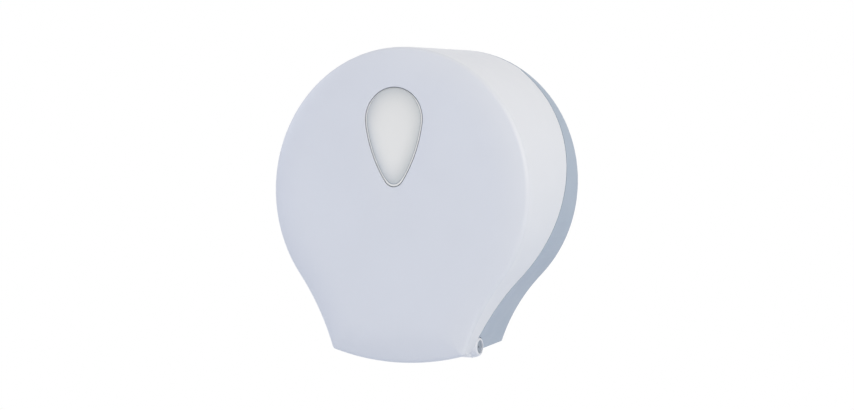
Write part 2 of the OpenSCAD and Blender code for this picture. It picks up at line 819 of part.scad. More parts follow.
module keeper_screw_places() {
    for (x = [-1, 1]) along_y(x * keeper_screw_x, 0, keeper_screw_z) children();
}

// Sheet metal keeper: foot on the back plate, arm forward, lip down in front of the cam's tip
module lock_keeper() {
    foot_w = 2 * (keeper_screw_x + keeper_end);
    arm_length = plate_face_y - keeper_lip_y;
    lip_h = cam_tip + 0.5;
    color(steel) difference() {
        union() {
            translate([-foot_w / 2, plate_face_y - keeper_t, keeper_arm_z + keeper_t - keeper_flange_h])
                cube([foot_w, keeper_t, keeper_flange_h]);
            translate([-keeper_width / 2, keeper_lip_y, keeper_arm_z])
                cube([keeper_width, arm_length, keeper_t]);
            translate([-keeper_width / 2, keeper_lip_y, keeper_arm_z - lip_h])
                cube([keeper_width, keeper_t, lip_h + keeper_t]);
        }
        keeper_screw_places() screw_hole(screw_r, plate_t + keeper_t + past);
    }
}

module keeper_screws() {
    color(steel) keeper_screw_places()
        translate([0, 0, plate_t + keeper_t]) mirror([0, 0, 1]) fixing_screw();
}

// ---------- tear blades ----------

blade_back_y = -plate_t - 2;
blade_top_z = shelf_z;
blade_screw_inset = 14;
head_clear = 0.3;

module blade_screw_places() {
    x = blade_x + blade_t + screw_head_r + head_clear;
    for (y = [blade_back_y - blade_screw_inset, blade_screw_inset - shelf_end])
        translate([x, y, blade_top_z - blade_t]) children();
}

// L-shaped serrated strip: flange under the shelf, toothed leg hanging down
module tear_blade() {
    pitch = blade_length / blade_teeth;
    root = blade_height - tooth_depth;
    color(steel) difference() {
        union() {
            translate([blade_x, blade_back_y, blade_top_z]) rotate([90, 0, 90]) linear_extrude(blade_t)
                polygon(concat([[-blade_length, 0], [0, 0]],
                    [for (i = [0 : blade_teeth - 1], half = [0, 1])
                        [-(i + half / 2) * pitch, half == 0 ? -root : -blade_height]],
                    [[-blade_length, -root]]));
            translate([blade_x, -shelf_end, blade_top_z - blade_t])
                cube([blade_flange_w, shelf_end + blade_back_y, blade_t]);
        }
        blade_screw_places() screw_hole(screw_r, blade_t + past);
    }
}
module tear_blade_right() { tear_blade(); }
module tear_blade_left() { mirror([1, 0, 0]) tear_blade(); }

module blade_screws() {
    color(steel) both_sides() blade_screw_places()
        screw(screw_head_r, screw_head_t, screw_r, blade_t + shelf_t);
}

rear_base();
front_cover();
window_lens();
hinge_pin_right();
hinge_pin_left();
hinge_clips();
spindle_post();
spindle_screws();
thrust_washer();
roll_hub();
hub_cap();
hub_screw();
lock_barrel();
lock_nut();
lock_plug();
lock_cam();
cam_screw();
lock_keeper();
keeper_screws();
tear_blade_right();
tear_blade_left();
blade_screws();
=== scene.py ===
"""Looks of a wall-mounted jumbo toilet roll dispenser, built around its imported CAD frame."""
import json
import math

import bmesh
import bpy
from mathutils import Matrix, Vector


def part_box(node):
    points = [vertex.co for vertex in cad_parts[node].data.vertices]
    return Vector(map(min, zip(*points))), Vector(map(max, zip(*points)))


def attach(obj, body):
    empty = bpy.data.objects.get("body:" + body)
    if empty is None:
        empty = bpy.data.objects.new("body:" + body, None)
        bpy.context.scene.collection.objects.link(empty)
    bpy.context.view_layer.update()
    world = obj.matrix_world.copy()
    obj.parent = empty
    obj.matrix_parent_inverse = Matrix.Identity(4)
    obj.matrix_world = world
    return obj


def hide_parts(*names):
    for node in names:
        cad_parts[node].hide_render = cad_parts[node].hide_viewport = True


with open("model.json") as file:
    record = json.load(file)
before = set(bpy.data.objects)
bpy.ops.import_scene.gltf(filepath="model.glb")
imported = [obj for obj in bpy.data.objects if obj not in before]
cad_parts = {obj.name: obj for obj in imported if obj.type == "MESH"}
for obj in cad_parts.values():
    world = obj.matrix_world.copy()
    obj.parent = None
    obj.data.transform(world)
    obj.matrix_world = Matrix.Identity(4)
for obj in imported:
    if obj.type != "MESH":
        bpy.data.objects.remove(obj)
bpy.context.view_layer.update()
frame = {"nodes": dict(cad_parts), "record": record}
nodes = frame["nodes"]
SLOTS = {part["node"]: part["material_slot"] for part in frame["record"]["subparts"]}

MM = 0.001


def linked(name, data):
    obj = bpy.data.objects.new(name, data)
    bpy.context.collection.objects.link(obj)
    return obj


# ---------- camera, as the photograph was taken ----------

CAMERA_AT = Vector((638.3, -1337.6, 5.8)) * MM
LOOK_AT = Vector((-2.4, -60.0, -23.85)) * MM
SENSOR_MM = 36.0
IMAGE_WIDTH_PX = 854
FOCAL_PX = 1469.4
CLIP_START = 0.05


def aimed_from(place):
    """The rotation of a camera or lamp at this place that looks at the middle of the object."""
    return (LOOK_AT - place).to_track_quat("-Z", "Y").to_euler()


def add_camera():
    data = bpy.data.cameras.new("camera")
    data.sensor_width = SENSOR_MM
    data.lens = FOCAL_PX * SENSOR_MM / IMAGE_WIDTH_PX
    data.clip_start = CLIP_START
    camera = linked("camera", data)
    camera.location = CAMERA_AT
    camera.rotation_euler = aimed_from(CAMERA_AT)
    bpy.context.scene.camera = camera
    bpy.context.scene.view_settings.view_transform = "Standard"


# ---------- floor and light, in metres and watts ----------

FLOOR_Z = -0.42
FLOOR_HALF = 2.5
WHITE = (1.0, 1.0, 1.0, 1.0)
FLOOR_TINT = (0.79, 0.845, 0.935, 1.0)
WORLD_TINT = (0.91, 0.945, 1.0, 1.0)
WORLD_STRENGTH = 0.662

WARM = (1.0, 0.94, 0.7)
SOFT_WARM = (1.0, 0.957, 0.82)
COOL = (0.87, 0.915, 1.0)
# Name, place, two sides, power and tint of each softbox
SOFTBOXES = (
    ("key", (1.4, -0.4, 0.75), (1.1, 1.1), 4.0, WARM),
    ("behind_right", (0.55, 1.2, 0.3), (1.8, 1.8), 0.9, WARM),
    ("front_right", (1.35, -1.15, 0.5), (1.2, 1.2), 9.6, SOFT_WARM),
    ("front_left", (-1.2, -1.4, -0.6), (1.4, 1.4), 6.2, COOL),
    ("left_strip", (-1.4, -0.55, 0.6), (0.4, 0.8), 2.9, COOL),
)


def seen_directly(tree):
    """1 where the camera, a reflection or glass looks, and 0 for all other light."""
    path = tree.nodes.new("ShaderNodeLightPath")
    pair = tree.nodes.new("ShaderNodeMath")
    every = tree.nodes.new("ShaderNodeMath")
    pair.operation = every.operation = "MAXIMUM"
    tree.links.new(path.outputs["Is Camera Ray"], pair.inputs[0])
    tree.links.new(path.outputs["Is Glossy Ray"], pair.inputs[1])
    tree.links.new(pair.outputs[0], every.inputs[0])
    tree.links.new(path.outputs["Is Transmission Ray"], every.inputs[1])
    return every.outputs[0]


def white_where_seen(tree, lit, white, out):
    """Shows white where it is seen directly, and leaves all other light to the lit shader."""
    mix = tree.nodes.new("ShaderNodeMixShader")
    tree.links.new(seen_directly(tree), mix.inputs[0])
    tree.links.new(lit.outputs[0], mix.inputs[1])
    tree.links.new(white.outputs[0], mix.inputs[2])
    tree.links.new(mix.outputs[0], out.inputs["Surface"])


def light_world():
    world = bpy.data.worlds.new("studio")
    bpy.context.scene.world = world
    world.use_nodes = True
    tree = world.node_tree
    tree.nodes.clear()
    soft = tree.nodes.new("ShaderNodeBackground")
    soft.inputs["Color"].default_value = WORLD_TINT
    soft.inputs["Strength"].default_value = WORLD_STRENGTH
    white = tree.nodes.new("ShaderNodeBackground")
    white.inputs["Color"].default_value = WHITE
    white_where_seen(tree, soft, white, tree.nodes.new("ShaderNodeOutputWorld"))


def add_floor():
    mesh = bpy.data.meshes.new("floor")
    h = FLOOR_HALF
    corners = [(x, y, FLOOR_Z) for x, y in ((-h, -h), (h, -h), (h, h), (-h, h))]
    mesh.from_pydata(corners, [], [(0, 1, 2, 3)])
    floor = linked("floor", mesh)
    material = bpy.data.materials.new("floor")
    material.use_nodes = True
    tree = material.node_tree
    tree.nodes.clear()
    lit = tree.nodes.new("ShaderNodeBsdfDiffuse")
    lit.inputs["Color"].default_value = FLOOR_TINT
    white = tree.nodes.new("ShaderNodeEmission")
    white.inputs["Color"].default_value = WHITE
    white_where_seen(tree, lit, white, tree.nodes.new("ShaderNodeOutputMaterial"))
    mesh.materials.append(material)


def add_softbox(name, place, sides, power, tint):
    data = bpy.data.lights.new(name, "AREA")
    data.shape = "RECTANGLE"
    data.size, data.size_y = sides
    data.energy = power
    data.color = tint
    lamp = linked(name, data)
    lamp.location = place
    lamp.visible_camera = False
    lamp.rotation_euler = aimed_from(Vector(place))


add_camera()
light_world()
add_floor()
for softbox in SOFTBOXES:
    add_softbox(*softbox)

# ---------- the housing's outline, as the solids have it, in millimetres ----------

# REAR is at the wall and FRONT at the crease, and W is half a width
REAR_R, FRONT_R, FRONT_DROP = 131.0, 133.48, 9.0
REAR_NECK_R, FRONT_NECK_R = 180.0, 240.0
REAR_FOOT_W, FRONT_FOOT_W = 50.5, 69.0
FOOT_DROP, FOOT_SAG = 160.0, 9.8
FOOT_CORNER_R = 5.0
CREASE_DEPTH = 130.0
# The parting line's depth over the top, at UPPER_Z, at height 0, and from LOW_Z down
BAND_TOP, BAND_UPPER, BAND_MID, BAND_LOW = 3.0, 12.6, 33.0, 95.5
UPPER_Z, LOW_Z = 87.0, -145.0
SHOULDER_START, SHOULDER_END = 87.0, 109.0

# Stations on each arc of one half of the outline, from the top down: drum, neck, corner, bottom
ARC_STEPS = (110, 46, 10, 26)
SIDE_END = ARC_STEPS[0] + ARC_STEPS[1]
HALF = sum(ARC_STEPS)
LOOP = 2 * HALF
# Where along the depth the search for a station's parting line starts, and its rounds
PARTING_GUESS, PARTING_ROUNDS = 0.4, 2


def blend(a, b, k):
    return a + (b - a) * k


def crossing(c1, r1, c2, r2):
    """The left one of the two points where circles cross, looking from the first centre."""
    dx, dz = c2[0] - c1[0], c2[1] - c1[1]
    d = math.hypot(dx, dz)
    ux, uz = dx / d, dz / d
    a = (r1 * r1 - r2 * r2 + d * d) / (2 * d)
    h = math.sqrt(r1 * r1 - a * a)
    return (c1[0] + a * ux - h * uz, c1[1] + a * uz + h * ux)


def angle_to(c1, c2):
    return math.atan2(c2[1] - c1[1], c2[0] - c1[0])


def outline_arcs(k, corner_r):
    """The right half's arcs at depth share k: (centre, radius, first angle, last angle, side)."""
    r = blend(REAR_R, FRONT_R, k)
    drum = (0.0, -FRONT_DROP * k)
    neck = blend(REAR_NECK_R, FRONT_NECK_R, k)
    foot = (blend(REAR_FOOT_W, FRONT_FOOT_W, k), -FOOT_DROP)
    neck_c = crossing(drum, r + neck, foot, neck)
    low_r = (foot[0] ** 2 + FOOT_SAG ** 2) / (2 * FOOT_SAG)
    low_c = (0.0, foot[1] - FOOT_SAG + low_r)
    corner_c = crossing(neck_c, neck + corner_r, low_c, low_r - corner_r)
    turn = angle_to(drum, neck_c)
    neck_end = angle_to(neck_c, corner_c) % (2 * math.pi)
    low_a = angle_to(low_c, corner_c)
    return ((drum, r, math.pi / 2, turn, 1),
            (neck_c, neck, turn + math.pi, neck_end, -1),
            (corner_c, corner_r, angle_to(corner_c, neck_c), low_a, 1),
            (low_c, low_r, low_a, -math.pi / 2, 1))


def outline_point(i, k, inset=0.0, corner_r=FOOT_CORNER_R):
    """(x, z) of station i of the whole loop, clockwise from the top as seen from the front."""
    i %= LOOP
    side = 1 if i <= HALF else -1
    j = i if i <= HALF else LOOP - i
    for arc, steps in zip(outline_arcs(k, corner_r), ARC_STEPS):
        if j <= steps:
            break
        j -= steps
    centre, radius, first, last, outward = arc
    a = blend(first, last, j / steps)
    r = radius - outward * inset
    return side * (centre[0] + r * math.cos(a)), centre[1] + r * math.sin(a)


def parting_depth(z):
    """The parting line's depth at a height: a parabola, and a quarter ellipse over the shoulder."""
    upper, low = UPPER_Z, LOW_Z
    at = max(z, low)
    sweep = (BAND_MID * (at - upper) * (at - low) / (upper * low)
             + BAND_UPPER * at * (at - low) / (upper * (upper - low))
             + BAND_LOW * at * (at - upper) / (low * (low - upper)))
    if z <= SHOULDER_START:
        return sweep
    if z >= SHOULDER_END:
        return BAND_TOP
    share = math.sqrt(1 - ((z - SHOULDER_START) / (SHOULDER_END - SHOULDER_START)) ** 2)
    return blend(BAND_TOP, sweep, share)


def station_parting(i):
    """Depth of the parting line at station i, whose height itself changes with the depth."""
    depth = parting_depth(outline_point(i, PARTING_GUESS)[1])
    for _ in range(PARTING_ROUNDS):
        depth = parting_depth(outline_point(i, depth / CREASE_DEPTH)[1])
    return depth


def at_depth(i, depth, inset):
    x, z = outline_point(i, depth / CREASE_DEPTH, inset)
    return (x, -depth, z)


# ---------- materials, each named after its slot in the record ----------

MATERIALS = {}
GRAIN_PER_M = 700
FLOW_PER_M = 14
SPECKS_PER_M = 56
CLOUDS_PER_M = 60
STREAKS_PER_M = 900
NOISE_RANGE = (0.3, 0.7)
# How far the roughness drifts to either side of its middle
PLASTIC_DRIFT, METAL_DRIFT, LENS_DRIFT = (-0.03, 0.04), (-0.06, 0.1), (-0.03, 0.03)
FLOW_TINT = 0.012
STREAK_SHADE = 0.9
GRAIN_MM, BASE_GRAIN_MM, STREAK_MM, LENS_GRAIN_MM = 0.012, 0.02, 0.006, 0.008
LENS_IOR = 1.49
# Painted shade per point of the lens: 0 for its own milky colour, 1 for the dark edge colour
RIM_PAINTED_SHADE_ATTRIBUTE = "rim"


def object_noise(tree, scale, detail, stretch=None):
    """Noise that is fixed to the object, with scale in lumps per metre."""
    place = tree.nodes.new("ShaderNodeTexCoord").outputs["Object"]
    noise = tree.nodes.new("ShaderNodeTexNoise")
    noise.inputs["Scale"].default_value = scale
    noise.inputs["Detail"].default_value = detail
    if stretch:
        mapping = tree.nodes.new("ShaderNodeMapping")
        mapping.inputs["Scale"].default_value = stretch
        tree.links.new(place, mapping.inputs["Vector"])
        place = mapping.outputs["Vector"]
    tree.links.new(place, noise.inputs["Vector"])
    return noise.outputs["Fac"]


def spread(tree, value, low, high):
    """The value of a noise, from its usual range, spread over low to high."""
    ranged = tree.nodes.new("ShaderNodeMapRange")
    ranged.inputs["From Min"].default_value = NOISE_RANGE[0]
    ranged.inputs["From Max"].default_value = NOISE_RANGE[1]
    ranged.inputs["To Min"].default_value = low
    ranged.inputs["To Max"].default_value = high
    tree.links.new(value, ranged.inputs["Value"])
    return ranged.outputs["Result"]


def tinted(tree, factor, first, second):
    ramp = tree.nodes.new("ShaderNodeMix")
    ramp.data_type = "RGBA"
    ramp.inputs["A"].default_value = (*first, 1)
    ramp.inputs["B"].default_value = (*second, 1)
    tree.links.new(factor, ramp.inputs["Factor"])
    return ramp.outputs["Result"]


def set_roughness(tree, shader, noise, middle, drift):
    ranged = spread(tree, noise, middle + drift[0], middle + drift[1])
    tree.links.new(ranged, shader.inputs["Roughness"])


def set_bump(tree, shader, height, depth_mm):
    bump = tree.nodes.new("ShaderNodeBump")
    bump.inputs["Strength"].default_value = 1.0
    bump.inputs["Distance"].default_value = depth_mm * MM
    tree.links.new(height, bump.inputs["Height"])
    tree.links.new(bump.outputs["Normal"], shader.inputs["Normal"])


def new_material(slot):
    material = bpy.data.materials.new(slot)
    material.use_nodes = True
    MATERIALS[slot] = material
    return material.node_tree, material.node_tree.nodes["Principled BSDF"]


def moulded(slot, colour, roughness, grain_mm=GRAIN_MM):
    """Injection moulded plastic: a fine grain, and a colour and gloss that drift a little."""
    tree, shader = new_material(slot)
    flow = spread(tree, object_noise(tree, FLOW_PER_M, detail=3), 0, 1)
    deep, pale = (tuple(min(1, c * (1 + drift)) for c in colour)
                  for drift in (-FLOW_TINT, FLOW_TINT))
    tree.links.new(tinted(tree, flow, deep, pale), shader.inputs["Base Color"])
    specks = object_noise(tree, SPECKS_PER_M, detail=4)
    set_roughness(tree, shader, specks, roughness, PLASTIC_DRIFT)
    set_bump(tree, shader, object_noise(tree, GRAIN_PER_M, detail=4), grain_mm)


def metal(slot, colour, roughness, stretch):
    """Metal with fine lines left by rolling or turning, along the axes whose stretch is low."""
    tree, shader = new_material(slot)
    shader.inputs["Metallic"].default_value = 1.0
    lines = object_noise(tree, STREAKS_PER_M, detail=3, stretch=stretch)
    shaded = tuple(c * STREAK_SHADE for c in colour)
    tree.links.new(tinted(tree, spread(tree, lines, 0, 1), shaded, colour),
                   shader.inputs["Base Color"])
    set_roughness(tree, shader, lines, roughness, METAL_DRIFT)
    set_bump(tree, shader, lines, STREAK_MM)


def frosted(slot, middle, edge, roughness, clear):
    """Milky lens plastic with shade painted into its colour: it darkens from its middle colour
    towards its edge colour, by the painted shade that each point carries.
    """
    tree, shader = new_material(slot)
    rim = tree.nodes.new("ShaderNodeAttribute")
    rim.attribute_name = RIM_PAINTED_SHADE_ATTRIBUTE
    tree.links.new(tinted(tree, rim.outputs["Fac"], middle, edge), shader.inputs["Base Color"])
    clouds = object_noise(tree, CLOUDS_PER_M, detail=3)
    set_roughness(tree, shader, clouds, roughness, LENS_DRIFT)
    set_bump(tree, shader, object_noise(tree, GRAIN_PER_M, detail=3), LENS_GRAIN_MM)
    shader.inputs["IOR"].default_value = LENS_IOR
    shader.inputs["Transmission Weight"].default_value = clear


moulded("cover_plastic", (0.698, 0.705, 0.765), 0.34)
moulded("base_plastic", (0.351, 0.413, 0.515), 0.42, BASE_GRAIN_MM)
moulded("pin_plastic", (0.275, 0.31, 0.375), 0.38)
moulded("hub_plastic", (0.60, 0.62, 0.65), 0.38)
moulded("washer_plastic", (0.78, 0.78, 0.76), 0.45)
# The lens's second colour is painted shade, not its own: it darkens the dome's edge, the rim's
# groove, the side and the hollow, where shade falls
frosted("lens_plastic", (0.86, 0.837, 0.818), (0.4, 0.433, 0.476), 0.21, clear=0.05)
metal("lock_metal", (0.74, 0.74, 0.75), 0.22, stretch=(1, 1, 0.1))
metal("steel", (0.66, 0.66, 0.67), 0.28, stretch=(0.06, 0.06, 1))

# ---------- mesh helpers ----------

SHARP_ANGLE = math.radians(38)


def plain_mesh(name, points, faces):
    """A mesh from points in millimetres, with its faces turned outwards."""
    mesh = bpy.data.meshes.new(name)
    mesh.from_pydata([(x * MM, y * MM, z * MM) for x, y, z in points], [], faces)
    mesh.validate()
    work = bmesh.new()
    work.from_mesh(mesh)
    bmesh.ops.recalc_face_normals(work, faces=work.faces)
    work.to_mesh(mesh)
    work.free()
    return mesh


def add_piece(name, mesh, body, node):
    """A piece that moves with a body, and has the place and the finish of a CAD node."""
    piece = linked(name, mesh)
    mesh.materials.append(MATERIALS[SLOTS[node]])
    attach(piece, body)
    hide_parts(node)


def new_piece(name, shape, body, node):
    """A smooth-shaded piece from points and faces, whose mesh is handed back."""
    mesh = plain_mesh(name, *shape)
    mesh.shade_smooth()
    mesh.set_sharp_from_angle(angle=SHARP_ANGLE)
    add_piece(name, mesh, body, node)
    return mesh


def carved(first, joined, cut):
    """Points and faces of a first solid with others joined to it and then some cut out of it."""
    base = linked("carving", plain_mesh("carving", *first))
    tools = []
    for operation, shapes in (("UNION", joined), ("DIFFERENCE", cut)):
        for shape in shapes:
            tool = linked("tool", plain_mesh("tool", *shape))
            tools.append(tool)
            modifier = base.modifiers.new(operation, "BOOLEAN")
            modifier.operation, modifier.object, modifier.solver = operation, tool, "EXACT"
    done = base.evaluated_get(bpy.context.evaluated_depsgraph_get()).to_mesh()
    points = [tuple(c / MM for c in v.co) for v in done.vertices]
    faces = [tuple(f.vertices) for f in done.polygons]
    for obj in [base] + tools:
        mesh = obj.data
        bpy.data.objects.remove(obj)
        bpy.data.meshes.remove(mesh)
    return points, faces


def grid_faces(rows, length, rows_closed):
    """Faces between rows of points of equal length, each row a closed loop."""
    faces = []
    for j in range(rows if rows_closed else rows - 1):
        for i in range(length):
            a, b = j * length + i, j * length + (i + 1) % length
            c, d = (j + 1) % rows * length + i, (j + 1) % rows * length + (i + 1) % length
            faces.append((a, b, d, c))
    return faces


def lofted(rings, closed_across=False):
    """Points and faces of a skin through rings of equal length."""
    points = [p for ring in rings for p in ring]
    return points, grid_faces(len(rings), len(rings[0]), closed_across)


ROUND_STEPS, BORE_STEPS = 96, 64
CORNER_STEPS, EAR_CORNER_STEPS = 5, 8


def turned(profile, centre, axis, side=1, steps=ROUND_STEPS):
    """A solid turned about the X or Z axis through a centre, from a closed profile of
    (along, radius). With side -1 the X axis runs the other way."""
    points = []
    for i in range(steps):
        a = 2 * math.pi * i / steps
        for along, r in profile:
            u, v = r * math.cos(a), r * math.sin(a)
            offset = (side * along, u, v) if axis == "x" else (u, v, along)
            points.append(tuple(c + o for c, o in zip(centre, offset)))
    return points, grid_faces(steps, len(profile), True)


def rounded(corners, steps=CORNER_STEPS):
    """A closed profile from (corner, radius) pairs, with each corner rounded by its radius."""
    out = []
    n = len(corners)
    for i, (corner, r) in enumerate(corners):
        if not r:
            out.append(corner)
            continue
        c, p, q = Vector(corner), Vector(corners[i - 1][0]), Vector(corners[(i + 1) % n][0])
        u, v = (p - c).normalized(), (q - c).normalized()
        half = math.acos(max(-1, min(1, u.dot(v)))) / 2
        run = r / math.tan(half)
        start, end = c + u * run, c + v * run
        for j in range(steps + 1):
            t = j / steps
            out.append(tuple((1 - t) ** 2 * start + 2 * t * (1 - t) * c + t * t * end))
    return out


def hull_of(corners):
    work = bmesh.new()
    for c in corners:
        work.verts.new(c)
    hull = bmesh.ops.convex_hull(work, input=work.verts)
    left_over = hull["geom_interior"] + hull["geom_unused"]
    spare = {v for v in left_over if isinstance(v, bmesh.types.BMVert)}
    bmesh.ops.delete(work, geom=list(spare), context="VERTS")
    work.verts.index_update()
    points = [tuple(v.co) for v in work.verts]
    faces = [tuple(v.index for v in f.verts) for f in work.faces]
    work.free()
    return points, faces


# ---------- window outline ----------

# Height of the centre of the arc over the top and of the one round the tip, with their radii
WINDOW_TOP, WINDOW_TOP_R = 56.7, 30.3
WINDOW_LOW, WINDOW_LOW_R = 5.2, 11.2
WINDOW_SIDE_R = 128.0
WINDOW_STEPS = (60, 56, 44)


def window_outline(outset):
    """The window's whole outline, clockwise from the top, moved outward by outset."""
    top, low = (0.0, WINDOW_TOP), (0.0, WINDOW_LOW)
    side = crossing(low, WINDOW_SIDE_R - WINDOW_LOW_R, top, WINDOW_SIDE_R - WINDOW_TOP_R)
    a, b = angle_to(side, top), angle_to(side, low)
    arcs = ((top, WINDOW_TOP_R, math.pi / 2, a), (side, WINDOW_SIDE_R, a, b),
            (low, WINDOW_LOW_R, b, -math.pi / 2))
    right = []
    for (centre, radius, first, last), steps in zip(arcs, WINDOW_STEPS):
        for j in range(steps):
            t = blend(first, last, j / steps)
            right.append((centre[0] + (radius + outset) * math.cos(t),
                          centre[1] + (radius + outset) * math.sin(t)))
    left = [(-x, z) for x, z in reversed(right[1:])]
    return right + [(0.0, WINDOW_LOW - WINDOW_LOW_R - outset)] + left


def outline_towards(outline, centre, targets):
    """The point of a star-shaped outline that lies towards each target from the centre."""
    polar = sorted((angle_to(centre, p), math.hypot(p[0] - centre[0], p[1] - centre[1]))
                   for p in outline)
    (first_a, first_r), (last_a, last_r) = polar[0], polar[-1]
    polar = [(last_a - 2 * math.pi, last_r)] + polar + [(first_a + 2 * math.pi, first_r)]
    found = []
    for target in targets:
        a = angle_to(centre, target)
        for (a0, r0), (a1, r1) in zip(polar, polar[1:]):
            if a0 <= a <= a1:
                r = blend(r0, r1, (a - a0) / (a1 - a0) if a1 > a0 else 0)
                break
        found.append((centre[0] + r * math.cos(a), centre[1] + r * math.sin(a)))
    return found


# ---------- the cover's shell ----------

COVER_WALL = 2.5
CREASE_R = 5.0
ROLL_HEIGHT, ROLL_WIDTH, ROLL_POWER = 4.5, 30.0, 2.2
CREASE_END = math.pi / 2 - math.atan(ROLL_POWER * ROLL_HEIGHT / ROLL_WIDTH)
# How fast the foot's corner grows on the panel, per millimetre inwards
CORNER_GROWTH = 1.6
EDGE_R = 0.5
WINDOW_EDGE_R = 0.35
# The back edge steps forward to the foot's lip over this share of the foot's corner
FOOT_LIP, LIP_RUN = 9.0, 0.8
# A point inside the window, from which the panel's rings spread
WINDOW_EYE = (0.0, 36.0)

# Rings of the shell's outside: shares of the back edge's half circle, steps along the wall, the
# crease and the panel's roll, shares of the flat, and shares of the window edge's quarter circle
EDGE_TURNS = (0.375, 0.25, 0.125, 0)
WALL_STEPS, CREASE_STEPS, ROLL_STEPS = 14, 10, 14
ROLL_CROWDING = 1.2
FLAT_SHARES = (0.35, 0.7)
BEVEL_TURNS = (0, 0.33, 0.67, 1)
# Rings of its inside, on the panel's roll, the crease and the wall
INNER_ROLL_STEPS, INNER_CREASE_STEPS = 5, 3
INNER_WALL_SHARES = (1, 0.75, 0.5, 0.25)
INNER_EDGE_BEVEL = 0.3


def crease_inset(a, inset):
    return inset + (CREASE_R - inset) * (1 - math.cos(a))


def crease_y(a, inset):
    return -(CREASE_DEPTH - CREASE_R + (CREASE_R - inset) * math.sin(a))


def roll_at(u):
    return ROLL_HEIGHT * (1 - (1 - min(u, ROLL_WIDTH) / ROLL_WIDTH) ** ROLL_POWER)


FACE_Y = crease_y(CREASE_END, 0) - ROLL_HEIGHT
FACE_BACK_Y = crease_y(CREASE_END, COVER_WALL) - ROLL_HEIGHT


def level_ring(y, inset, corner_r=FOOT_CORNER_R):
    """The panel's whole outline at one depth, drawn in by inset."""
    outline = (outline_point(i, 1, inset, corner_r) for i in range(LOOP))
    return [(x, y, z) for x, z in outline]


def crease_ring(a, inset):
    return level_ring(crease_y(a, inset), crease_inset(a, inset))


def panel_ring(u, inset):
    """A ring of the front panel at distance u in from the end of the crease's rounding."""
    return level_ring(crease_y(CREASE_END, inset) - roll_at(u),
                      crease_inset(CREASE_END, inset) + u, FOOT_CORNER_R + CORNER_GROWTH * u)


def cover_edges():
    """Depth of the cover's back edge at every station."""
    edges = []
    for i in range(LOOP):
        j = min(i, LOOP - i)
        share = min(1, max(0, (j - SIDE_END) / (ARC_STEPS[2] * LIP_RUN)))
        edges.append(blend(station_parting(j), CREASE_DEPTH - FOOT_LIP, share))
    return edges


def wall_ring(edges, t, inset, forward=0.0):
    """A ring of the side wall, at share t of the way from its back edge to the crease."""
    return [at_depth(i, blend(edges[i] + forward, CREASE_DEPTH - CREASE_R, t), inset)
            for i in range(LOOP)]


def edge_ring(edges, turn):
    a = turn * math.pi
    return wall_ring(edges, 0, EDGE_R * (1 - math.cos(a)), EDGE_R * (1 - math.sin(a)))


def between(ring, other, share, y):
    """Points in the plane y, from a ring towards another one."""
    return [(blend(x, ox, share), y, blend(z, oz, share)) for (x, z), (ox, oz) in zip(ring, other)]


def shell():
    """Points and faces of the cover's shell, from its back edge out, round and back inside."""
    edges = cover_edges()
    rings = [edge_ring(edges, turn) for turn in EDGE_TURNS]
    rings += [wall_ring(edges, j / WALL_STEPS, 0, EDGE_R) for j in range(1, WALL_STEPS)]
    rings += [crease_ring(CREASE_END * j / CREASE_STEPS, 0) for j in range(CREASE_STEPS)]
    rings += [panel_ring(ROLL_WIDTH * (j / ROLL_STEPS) ** ROLL_CROWDING, 0)
              for j in range(ROLL_STEPS + 1)]
    flat = [(x, z) for x, _, z in rings[-1]]
    hole = outline_towards(window_outline(0), WINDOW_EYE, flat)
    wide = outline_towards(window_outline(WINDOW_EDGE_R), WINDOW_EYE, flat)
    rings += [between(flat, wide, share, FACE_Y) for share in FLAT_SHARES]
    for turn in BEVEL_TURNS:
        a = turn * math.pi / 2
        rings.append(between(wide, hole, math.sin(a), FACE_Y + WINDOW_EDGE_R * (1 - math.cos(a))))
    rings.append([(x, FACE_BACK_Y, z) for x, z in hole])
    rings += [panel_ring(ROLL_WIDTH * j / INNER_ROLL_STEPS, COVER_WALL)
              for j in range(INNER_ROLL_STEPS, -1, -1)]
    rings += [crease_ring(CREASE_END * j / INNER_CREASE_STEPS, COVER_WALL)
              for j in range(INNER_CREASE_STEPS - 1, 0, -1)]
    rings += [wall_ring(edges, t, COVER_WALL, EDGE_R) for t in INNER_WALL_SHARES]
    rings += [wall_ring(edges, 0, COVER_WALL, EDGE_R),
              wall_ring(edges, 0, COVER_WALL - EDGE_R * INNER_EDGE_BEVEL,
                        EDGE_R * INNER_EDGE_BEVEL),
              wall_ring(edges, 0, COVER_WALL - EDGE_R, 0.0)]
    return lofted(rings, closed_across=True)


# ---------- the cover with its ears and lock seat ----------

HINGE_Y, HINGE_Z = -91.0, -155.2
HINGE = (0, HINGE_Y, HINGE_Z)
EAR_R, EAR_FLARE, EAR_BEVEL, EAR_INNER_ROUND = 8.2, 2.8, 1.9, 2.6
EAR_IN, EAR_OUT = 60.65, 68.65
PIN_BORE_R, HEAD_BORE_R, HEAD_SEAT = 3.55, 6.3, 65.75
# The blend's start on the ear, as distance out and radius: the ear's outer part is clear of it
WEB_RINGS = ((EAR_IN + 0.6, EAR_R + 0.8 * EAR_FLARE), (EAR_OUT - 6.2, EAR_R - 2.2))
# How far forward the blend reaches, its thickness there, and where it meets the foot's corner,
# as distance in from the side wall and height
WEB_REACH, WEB_T = 31.0, 2.0
WEB_FOOT = ((COVER_WALL + 1.6, -157.8), (1.6, -157.8), (3.6, -159.6), (6.0, -160.6),
            (10.0, -161.3), (10.0, -159.0))
LOCK_Y = -27.0
LOCK_WALL_Z = outline_point(0, -LOCK_Y / CREASE_DEPTH)[1]
FLANGE_R, FLANGE_T, FLANGE_SUNK = 9.3, 1.4, 0.3
BARREL_BORE_R = 7.1
BOSS_R, BOSS_T = 10.5, 6.0
# How far a cutting tool reaches past what it cuts, and past the wall's curve at the lock
PAST, PAST_WALL = 1.0, 5.0


